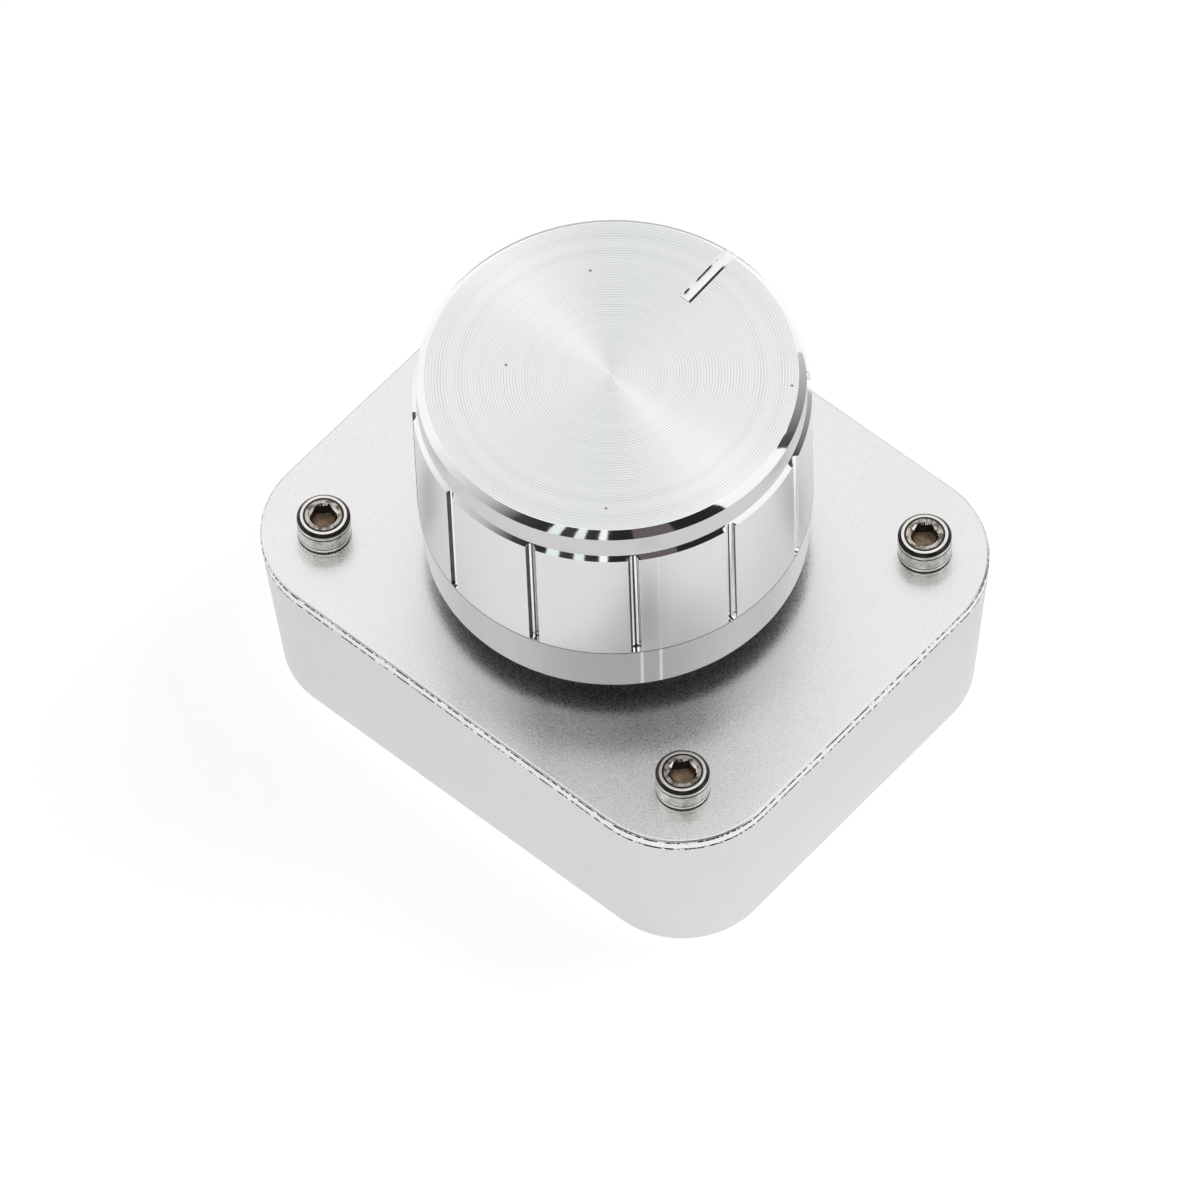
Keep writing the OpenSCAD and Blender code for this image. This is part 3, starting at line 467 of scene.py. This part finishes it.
def drawInGrooves(bm, k, near=0.01):
    # draws the wall in to the grooves' arcs, which run out in an arch on the step's cone
    slope = (k["bandZ"] - k["gripTop"]) / (k["gripR"] - k["bandR"])
    arch = set()
    for v in bm.verts:
        r, z = hypot(v.co.x, v.co.y) / mm, v.co.z / mm
        reach = grooveReach(fromGroove(atan2(v.co.y, v.co.x), k), k)
        if z < k["grooveFoot"] + k["footStep"] / 2 or r < k["gripR"] - near:
            continue
        if z > k["gripTop"] - near:
            z = k["gripTop"] + slope * (k["gripR"] - reach)
            arch.add(v)
        v.co.x *= reach / r
        v.co.y *= reach / r
        v.co.z = z * mm
    return arch


def isLip(edge, k, lipAngle, near=0.001, nearAngle=0.0005):
    # whether the edge is an upright one where a groove meets the grip
    def onLip(v):
        return abs(hypot(v.co.x, v.co.y) - k["gripR"] * mm) < near * mm \
            and v.co.z > k["grooveFoot"] * mm \
            and abs(abs(fromGroove(atan2(v.co.y, v.co.x), k)) - lipAngle) < nearAngle

    return abs(edge.verts[0].co.z - edge.verts[1].co.z) > mm and all(onLip(v) for v in edge.verts)


def slotCutter(k, over=0.3):
    # a bar whose flared top breaks the slot's edges at 45 degrees
    floorZ, topZ = k["height"] - k["slotDepth"], k["height"] + over
    bm = bmesh.new()
    bmesh.ops.create_cube(bm, size=1)
    bmesh.ops.scale(bm, verts=bm.verts,
                    vec=(k["gripR"] * mm, k["slotWidth"] * mm, (topZ - floorZ) * mm))
    bmesh.ops.translate(bm, verts=bm.verts, vec=((k["slotStart"] + k["gripR"] / 2) * mm, 0,
                                                 (topZ + floorZ) / 2 * mm))
    lowZ = k["height"] - k["slotFlare"]
    splitAt(bm, lowZ)
    flare = (topZ - lowZ) * mm
    for v in bm.verts:
        if v.co.z > k["height"] * mm:
            v.co.y += flare if v.co.y > 0 else -flare
            v.co.x -= flare
    return bm


def paintKnob(mesh, k, near):
    look = {name: index for index, name in enumerate(knobLooks)}
    floorZ = k["height"] - k["slotDepth"]
    for face in mesh.polygons:
        x, y, z = (c / mm for c in face.center)
        r = hypot(x, y)
        across = r * sin(fromGroove(atan2(y, x) - pi / k["grooves"], k))
        onTop = z > k["height"] - near["face"]
        outside = r > k["hollowR"] - near["hollow"]
        inSlot = x > k["slotStart"] - k["slotFlare"] and z > floorZ - near["slotFloor"] \
            and r < k["bandR"] and abs(y) < k["slotWidth"] / 2 + k["slotFlare"]
        bottomR = k["gripR"] - k["grooveDepth"] - near["grooveBottom"]
        inGroove = z > k["grooveFoot"] and abs(across) < k["grooveR"] \
            and bottomR < r < k["gripR"] - near["grooveLip"]
        if inSlot:
            kind = "face" if onTop else "slot"
        elif onTop and r < k["faceR"]:
            kind = "face"
        elif z > k["chamferZ"] + near["chamfer"] and outside:
            kind = "edge"
        elif z > k["bandZ"] and outside:
            kind = "band"
        elif z > k["gripTop"] + near["step"] and face.normal.z > near["upright"] and outside:
            kind = "edge"
        elif inGroove:
            # the groove's dark lines are painted shade, the rest of it is bright
            low, high = k["middleLine"]
            kind = "grooveShade" if across < k["lipLine"] or low < across < high else "groove"
        elif z < k["scribeLow"] and r > k["hollowR"] + near["hollow"]:
            kind = "skirt"
        else:
            kind = "grip"
        face.material_index = look[kind]


def turnedKnob(k):
    # columns stand closer together in the grooves than between them
    places = grooveColumns(k)
    pitch = tau / k["grooves"]
    inGroove = [b - a for a, b in zip(places, places[1:])]
    onLand = [(pitch - 2 * places[-1]) / k["columnsOnLand"]] * k["columnsOnLand"]
    bm = bmesh.new()
    spinProfile(bm, knobProfile(k), (inGroove + onLand) * k["grooves"])
    turnZ(bm, places[0])
    arch = drawInGrooves(bm, k)

    lips = [e for e in bm.edges if isLip(e, k, places[-1])]
    rings = [(k["faceR"], k["height"]), (k["bandR"], k["chamferZ"]), (k["bandR"], k["bandZ"]),
             (k["skirtR"], k["rim"]), (k["skirtR"] - k["rim"], 0), (k["hollowR"], 0),
             (k["hubR"], k["hubLow"])]
    roundEdges(bm, lips + [e for e in bm.edges if e.verts[0] in arch and e.verts[1] in arch
                           or any(onRing(e, r, z) for r, z in rings)], k["lip"])
    turnZ(bm, pitch / 2)
    print("knob:", len(lips), "groove lips,", len(bm.faces), "faces")
    piece = newPiece("turnedKnob", bm, knobLooks.values(), "knob", "knob")
    cutWith(piece, slotCutter(k))
    paintKnob(piece.data, k, margins)
    piece.data.transform(Matrix.Translation((axisX, axisY, k["underside"] * mm))
                         @ Matrix.Rotation(radians(k["turn"]), 4, "Z"))
    shadeByAngle(piece.data)
    evenNormals(piece)


turnedKnob(knob)


# The cap screws

screws = {
    "headR": 2.75, "headHeight": 3.0, "bevel": 0.35, "bevelLip": 0.05, "shankR": 1.5,
    "length": 8.0, "tip": 0.35, "seat": 21.7, "steps": 96,
    # dark rings, which carry painted dark reflections and at the foot painted shade: radii on the
    # top, heights on the side, height at the foot, and how deep they are
    "topRing": (1.88, 2.1), "sideRings": [(2.32, 2.12), (0.66, 0.54)], "footRing": 0.26,
    "mark": 0.07, "sideLook": (0.6, 2.2),
    "socket": 2.5, "socketDepth": 1.5, "overCut": 0.5, "socketReach": 1.6, "floorRange": (1, 2),
    "mouthLow": 1.05, "mouthHigh": 1.85, "mouthDepth": 0.8, "mouthDrop": 0.03, "mouthSides": 48,
    # x, y and the turn of the socket
    "places": [(-24.05, -18.75, 16), (-24.05, 18.75, 41), (24.05, -18.75, 18), (24.05, 18.75, 12)],
}
screwLooks = {
    "nickel": {"color": (0.82, 0.79, 0.74), "metal": 1.0, "rough": (0.05, 0.1), "grain": 0.15,
               "depth": 0.001, "toneSize": 2, "vary": 0.06},
    "socketFloor": {"color": (0.42, 0.29, 0.18), "metal": 0.2, "rough": (0.3, 0.5), "grain": 0.2,
                    "depth": 0.004, "toneSize": 0.8, "vary": 0.55},
    # painted shade in the sockets, and painted dark reflections on the bevel and the rings
    "paintedShadeAndReflection": {"color": (0.03, 0.03, 0.028), "metal": 0.6, "rough": (0.25, 0.4), "grain": 0.2,
                 "depth": 0.002, "toneSize": 0.7, "vary": 0.6},
    "headTop": {"color": (0.36, 0.33, 0.29), "metal": 1.0, "rough": (0.12, 0.22), "grain": 0.2,
                "depth": 0.002, "toneSize": 0.6, "vary": 0.6, "edge": (0.4, 0.6)},
    "headSide": {"color": (0.56, 0.55, 0.52), "metal": 1.0, "rough": (0.12, 0.22), "grain": 0.2,
                 "depth": 0.002, "toneSize": 0.7, "vary": 0.3},
}
screwMetals = [grainMaterial(name, look) for name, look in screwLooks.items()]


def screwProfile(s):
    r, h, mark = s["headR"], s["headHeight"], s["mark"]
    inner, outer = s["topRing"]
    points = [(0, h), (inner, h), (inner, h - mark), (outer, h - mark), (outer, h),
              (r - s["bevel"], h), (r, h - s["bevel"])]
    for high, low in s["sideRings"]:
        points += [(r, high), (r - mark, high), (r - mark, low), (r, low)]
    return points + [(r, s["footRing"]), (r - mark, s["footRing"]), (r - mark, 0), (s["shankR"], 0),
                     (s["shankR"], s["tip"] - s["length"]), (s["shankR"] - s["tip"], -s["length"]),
                     (0, -s["length"])]


def capScrew(s, x, y):
    r, h = s["headR"], s["headHeight"]
    bm = bmesh.new()
    spinProfile(bm, screwProfile(s), [tau / s["steps"]] * s["steps"])
    rings = [(r - s["bevel"], h), (r, h - s["bevel"])]
    roundEdges(bm, [e for e in bm.edges if any(onRing(e, a, b) for a, b in rings)], s["bevelLip"])
    bmesh.ops.translate(bm, verts=bm.verts, vec=(x * mm, y * mm, s["seat"] * mm))
    mesh = bpy.data.meshes.new("screw")
    bm.to_mesh(mesh)
    bm.free()
    return mesh


def addCone(bm, x, y, z, segments, low, high, depth, turn=0):
    # a cone or prism round an upright axis, centred on the point
    bmesh.ops.create_cone(bm, cap_ends=True, segments=segments, radius1=low * mm, radius2=high * mm,
                          depth=depth * mm, matrix=Matrix.Translation((x * mm, y * mm, z * mm))
                          @ Matrix.Rotation(radians(turn), 4, "Z"))


def paintScrews(mesh, s, near=0.01, steep=0.3, flat=0.9):
    # steep and flat are the upward parts of the normals that part walls, mouth and floor
    look = {name: index for index, name in enumerate(screwLooks)}
    r, h = s["headR"], s["headHeight"]
    floorLow, floorHigh = s["floorRange"]
    sideLow, sideHigh = s["sideLook"]
    for face in mesh.polygons:
        x, y, z = (c / mm for c in face.center)
        z -= s["seat"]
        reach = min(hypot(x - a, y - b) for a, b, _ in s["places"])
        inSocket = reach < s["socketReach"] and z > floorLow
        onBevel = z > h - s["bevel"] and reach > r - s["bevel"]
        inRing = s["mouthHigh"] + near < reach < r - 2 * near and 0 < z < h - near
        if inSocket and z < h - near and face.normal.z < flat:
            # the walls take painted shade and the countersunk mouth is bright
            face.material_index = look["paintedShadeAndReflection"] if face.normal.z < steep else look["nickel"]
        elif inSocket and z < floorHigh:
            face.material_index = look["socketFloor"]
        elif reach < s["topRing"][0] and z > h - near:
            face.material_index = look["headTop"]
        # the bevel and the rings take painted dark reflections, the foot ring painted shade
        elif onBevel or inRing:
            face.material_index = look["paintedShadeAndReflection"]
        elif reach > r - 2 * near and sideLow < z < sideHigh:
            face.material_index = look["headSide"]


def capScrews(s):
    bm = bmesh.new()
    for x, y, _ in s["places"]:
        mesh = capScrew(s, x, y)
        bm.from_mesh(mesh)
        bpy.data.meshes.remove(mesh)
    piece = newPiece("capScrewSet", bm, screwMetals, "base", "cap_screws")
    # hexagon sockets: a six-sided pocket, then a countersunk mouth
    topZ = s["seat"] + s["headHeight"]
    corner = s["socket"] / 2 / cos(pi / 6)
    bm = bmesh.new()
    for x, y, turn in s["places"]:
        addCone(bm, x, y, topZ + (s["overCut"] - s["socketDepth"]) / 2, 6, corner, corner,
                s["socketDepth"] + s["overCut"], turn)
    cutWith(piece, bm)
    bm = bmesh.new()
    for x, y, _ in s["places"]:
        addCone(bm, x, y, topZ - s["mouthDrop"], s["mouthSides"], s["mouthLow"], s["mouthHigh"],
                s["mouthDepth"])
    cutWith(piece, bm)
    paintScrews(piece.data, s)
    shadeByAngle(piece.data)
    evenNormals(piece)
    print("screws:", len(s["places"]), "heads")


capScrews(screws)


# The plate and the housing, with their outer edges broken

# levels are the heights of the edges that are rounded, corner the radius beyond which a corner
# counts as outside, and dark the heights between which the wall takes the broken dark look: the
# joint's own dark at the joint, a painted dark reflection on the plate's bevel
plate = {"name": "blastedPlate", "node": "top_plate", "metal": plateMetal, "round": 0.08,
         "levels": (21.7, 21.45, 20.5), "corner": 10, "dark": ((20.5, 20.6), (21.38, 21.52))}
housing = {"name": "blastedHousing", "node": "housing", "metal": housingMetal, "round": 0.16,
           "levels": (20.5, 1.0, 1.5), "corner": 8.6, "dark": ((20.29, 20.49),)}
# the centre and radius of a corner, the share of the box's half size beyond which a wall counts as
# outside, and the turns in degrees below which faces are joined and above which edges are rounded
outline = {"cornerX": 20.9, "cornerY": 15.6, "corner": 10, "sideShare": 0.93, "flatTurn": 0.5,
           "edgeTurn": 20}


def isOutside(spot, corner):
    far = max(abs(spot.x) / cadBox[1].x, abs(spot.y) / cadBox[1].y)
    reach = hypot(max(0, abs(spot.x) - outline["cornerX"] * mm),
                  max(0, abs(spot.y) - outline["cornerY"] * mm))
    return far > outline["sideShare"] or reach > corner * mm


def isOuterEdge(edge, levels, corner, near=0.01):
    # whether the edge runs round the piece at one of the levels
    first, last = edge.verts[0].co, edge.verts[1].co
    return all(any(abs(end.z - z * mm) < near * mm for z in levels) for end in (first, last)) \
        and isOutside((first + last) / 2, corner) and abs(first.z - last.z) < near * mm


def softEdged(p):
    bm = bmesh.new()
    bm.from_mesh(cadNodes[p["node"]].data)
    bmesh.ops.remove_doubles(bm, verts=bm.verts, dist=weld)
    bmesh.ops.dissolve_limit(bm, angle_limit=radians(outline["flatTurn"]),
                             use_dissolve_boundaries=False, verts=bm.verts, edges=bm.edges)
    edges = [e for e in bm.edges if len(e.link_faces) == 2
             and e.calc_face_angle(0) > radians(outline["edgeTurn"])
             and isOuterEdge(e, p["levels"], p["corner"])]
    roundEdges(bm, edges, p["round"])
    print(p["name"] + ":", len(edges), "edges rounded")
    for low, high in p["dark"]:
        splitAt(bm, low)
        splitAt(bm, high)
    for face in bm.faces:
        spot = face.calc_center_median()
        inDark = any(low * mm < spot.z < high * mm for low, high in p["dark"])
        face.material_index = int(inDark and isOutside(spot, outline["corner"]))
    piece = newPiece(p["name"], bm, [p["metal"], jointAndBevelShadeMetal], "base", p["node"])
    evenNormals(piece)


softEdged(plate)
softEdged(housing)


# Materials of the CAD nodes that stay

plated = {"color": (0.66, 0.66, 0.66), "metal": 1.0, "rough": (0.22, 0.34), "grain": 0.1,
          "depth": 0.002, "toneSize": 3, "vary": 0.05}
moulded = {"color": (0.06, 0.06, 0.065), "rough": (0.42, 0.55), "grain": 0.12, "depth": 0.006,
           "vary": 0.15}
paleMoulded = {"color": (0.84, 0.83, 0.78), "rough": (0.35, 0.48), "grain": 0.15, "depth": 0.004,
               "vary": 0.03}
tinned = {"color": (0.78, 0.72, 0.60), "metal": 1.0, "rough": (0.25, 0.4), "grain": 0.08,
          "depth": 0.002, "vary": 0.06}
looks = {
    "rubber_feet": {"color": (0.03, 0.03, 0.032), "rough": (0.65, 0.85), "grain": 0.18,
                    "depth": 0.02, "vary": 0.2},
    "knob_insert": moulded,
    "encoder_shaft": plated | {"stretch": (1, 1, 6), "rough": (0.18, 0.3)},
    "encoder_frame": plated,
    "encoder_nut": plated,
    "encoder_washer": plated,
    "encoder_case": moulded,
    "encoder_rotor": {"color": (0.75, 0.58, 0.28), "metal": 1.0, "rough": (0.25, 0.4),
                      "grain": 0.1, "vary": 0.08},
    "detent_spring": plated,
    "push_plunger": paleMoulded,
    "switch_dome": plated,
    "encoder_terminals": tinned,
    "circuit_board": {"color": (0.03, 0.20, 0.09), "rough": (0.25, 0.4), "grain": 0.3,
                      "depth": 0.01, "vary": 0.25, "toneSize": 1.6},
    "board_screws": plated,
    "radio_chip": moulded,
    "charging_chip": moulded,
    "crystal": plated,
    "capacitors": {"color": (0.55, 0.42, 0.28), "rough": (0.4, 0.55), "grain": 0.15, "vary": 0.1},
    "resistors": moulded,
    "usb_socket_shell": plated,
    "usb_socket_tongue": moulded,
    "usb_contacts": {"color": (0.83, 0.66, 0.32), "metal": 1.0, "rough": (0.15, 0.28),
                     "grain": 0.1, "vary": 0.05},
    "power_switch_case": plated,
    "power_switch_slider": moulded,
    "power_switch_terminals": tinned,
    "battery_cell": {"color": (0.70, 0.71, 0.72), "metal": 1.0, "rough": (0.3, 0.5),
                     "grain": 0.8, "depth": 0.03, "vary": 0.06},
    "battery_pad": {"color": (0.05, 0.05, 0.05), "rough": (0.8, 0.95), "grain": 0.3,
                    "depth": 0.05, "vary": 0.25},
    "battery_leads": {"color": (0.42, 0.03, 0.02), "rough": (0.35, 0.5), "grain": 0.2, "vary": 0.1},
    "battery_plug": paleMoulded,
    "battery_header": paleMoulded | {"color": (0.82, 0.78, 0.66)},
}
for node, look in looks.items():
    material = grainMaterial(node + "Finish", look)
    for slot in cadNodes[node].material_slots:
        slot.material = material
print("materials on", len(looks), "CAD nodes")


# The stage: a pale floor, soft light and cards that only metal sees

stage = {"floorSize": 6.0, "floorGap": 0.00002, "floorColor": (0.9, 0.9, 0.9), "floorRough": 0.9,
         "floorLift": 0.6, "worldFill": 0.38, "keyPower": 3.0, "keySize": 0.6,
         "keyPlace": (0.55, 0.75, 1.25)}
cards = {
    "radius": 0.5, "height": 0.03, "toCamera": -47.25, "rows": 8, "steps": 24,
    # patches of a sphere round the knob: azimuth from and to, counted from the camera's side,
    # height angle from and to, brightness, and what it runs to where it isn't even
    "patches": [
        (-104, -66, 2, 40, 1.0, 0.5),
        (-66, -50, 15, 46, 0.5, 0.05),
        (-50, -34, 18, 50, 0.05, 0.02),
        (-34, -28, 20, 52, 0.9),
        (-28, -21, 20, 52, 0.04),
        (-21, -16, 20, 52, 0.9),
        (-16, -9, 20, 52, 0.03),
        (-5, 8, 20, 53, 0.02),
        (8, 28, 20, 52, 0.13),
        (28, 54, 16, 50, 0.02),
        (92, 99, 0, 30, 0.05, 0.1),
        (99, 130, 0, 26, 0.12, 0.6),
        (-90, 90, 54, 70, 1.5),
        (122, 156, 64, 74, 1.45),
        (188, 198, 26, 46, 1.4),
        (116, 142, 44, 54, 1.2),
        (164, 182, 12, 42, 0.72),
        (-70, 70, 74, 88, 0.68),
    ],
    # colours of some patches, by their place in the list
    "tints": {3: (0.9, 1, 0.96), 5: (0.9, 1, 0.96), 8: (1, 0.85, 0.9), 16: (1, 1.08, 1.09),
              17: (1, 1.08, 1.09)},
    # the grey strip on the floor behind: azimuth from and to, distance from and to, brightness
    "strip": (120, 240, 0.07, 0.14, 0.55), "stripZ": 0.001,
}


def whiteToEye(material):
    # 1 for the camera's rays and for those that metal or glass sends on, else 0
    path = addNode(material, "LightPath").outputs
    first = calc(material, "MAXIMUM", path["Is Camera Ray"], path["Is Glossy Ray"])
    return calc(material, "MAXIMUM", first, path["Is Transmission Ray"])


def newStageObject(name, bm, material):
    mesh = bpy.data.meshes.new(name)
    bm.to_mesh(mesh)
    bm.free()
    mesh.materials.append(material)
    thing = bpy.data.objects.new(name, mesh)
    bpy.context.scene.collection.objects.link(thing)
    return thing


def paleFloor(s):
    material = newMaterial("paleFloor", s["floorColor"], 0.0, s["floorRough"],
                           Specular_IOR_Level=0.0, Emission_Color=(1, 1, 1, 1))
    toShader(material, "Emission Strength", product(material, whiteToEye(material), s["floorLift"]))
    # clear from below, so that the underside can be looked at
    tree = material.node_tree
    mix = addNode(material, "MixShader", {
        0: addNode(material, "NewGeometry").outputs["Backfacing"],
        1: tree.nodes["Principled BSDF"].outputs["BSDF"],
        2: addNode(material, "BsdfTransparent").outputs["BSDF"]})
    tree.links.new(mix.outputs["Shader"], tree.nodes["Material Output"].inputs["Surface"])
    bm = bmesh.new()
    bmesh.ops.create_grid(bm, x_segments=1, y_segments=1, size=s["floorSize"] / 2,
                          matrix=Matrix.Translation((0, 0, -s["floorGap"])))
    newStageObject("floor", bm, material)


def addCard(name, line, start, turn, level, lastLevel, tint=(1, 1, 1)):
    # a line of (radius, height) points turned round Z, which emits evenly or from one level to
    # another, and which only metal sees
    material = newMaterial(name, (0, 0, 0), 0.0, 1.0, Specular_IOR_Level=0.0,
                           Emission_Color=(*tint, 1), Emission_Strength=level)
    if lastLevel != level:
        azimuth = azimuthOf(material, objectPoint(material))
        toShader(material, "Emission Strength", spread(material, azimuth, level, lastLevel,
                                                       radians(start), radians(start + turn)))
    bm = bmesh.new()
    verts = [bm.verts.new((r, 0, z)) for r, z in line]
    geom = verts + [bm.edges.new(pair) for pair in zip(verts, verts[1:])]
    turnZ(bm, radians(start))
    bmesh.ops.spin(bm, geom=geom, cent=(0, 0, 0), axis=(0, 0, 1), angle=radians(turn),
                   steps=cards["steps"])
    card = newStageObject(name, bm, material)
    card.visible_camera = False
    card.visible_diffuse = False
    card.visible_shadow = False
    card.visible_transmission = False


def studioCards(c):
    for index, (left, right, low, high, level, *last) in enumerate(c["patches"]):
        heights = [radians(low + (high - low) * i / c["rows"]) for i in range(c["rows"] + 1)]
        line = [(c["radius"] * cos(h), c["radius"] * sin(h) + c["height"]) for h in heights]
        addCard("studioCard%d" % index, line, c["toCamera"] + left, right - left, level,
                last[0] if last else level, c["tints"].get(index, (1, 1, 1)))
    left, right, near, far, level = c["strip"]
    addCard("floorStrip", [(near, c["stripZ"]), (far, c["stripZ"])], c["toCamera"] + left,
            right - left, level, level)


def softLight(s):
    world = bpy.data.worlds.new("studio")
    bpy.context.scene.world = world
    world.use_nodes = True
    background = world.node_tree.nodes["Background"]
    background.inputs["Color"].default_value = (1, 1, 1, 1)
    level = spread(world, whiteToEye(world), s["worldFill"], 1.0, 0.0, 1.0)
    world.node_tree.links.new(level, background.inputs["Strength"])
    lamp = bpy.data.lights.new("keyLight", "AREA")
    lamp.energy = s["keyPower"]
    lamp.size = s["keySize"]
    key = bpy.data.objects.new("keyLight", lamp)
    bpy.context.scene.collection.objects.link(key)
    key.location = s["keyPlace"]
    key.rotation_euler = (-Vector(s["keyPlace"])).to_track_quat("-Z", "Y").to_euler()
    key.visible_camera = False
    key.visible_glossy = False


paleFloor(stage)
studioCards(cards)
softLight(stage)
print("stage set")


# The camera

view = {"place": (0.48893, -0.52996, 1.08001), "aim": (0.00316, -0.00737, 0.0224),
        "roll": -2.2864, "lens": 378.648, "sensor": 36.0}
eye = bpy.data.cameras.new("camera")
eye.lens = view["lens"]
eye.sensor_width = view["sensor"]
camera = bpy.data.objects.new("camera", eye)
bpy.context.scene.collection.objects.link(camera)
bpy.context.scene.camera = camera
along = Vector(view["aim"]) - Vector(view["place"])
aimed = along.to_track_quat("-Z", "Y").to_matrix().to_4x4()
rolled = Matrix.Rotation(radians(view["roll"]), 4, "Z")
camera.matrix_world = Matrix.Translation(view["place"]) @ aimed @ rolled
bpy.context.scene.view_settings.view_transform = "Standard"
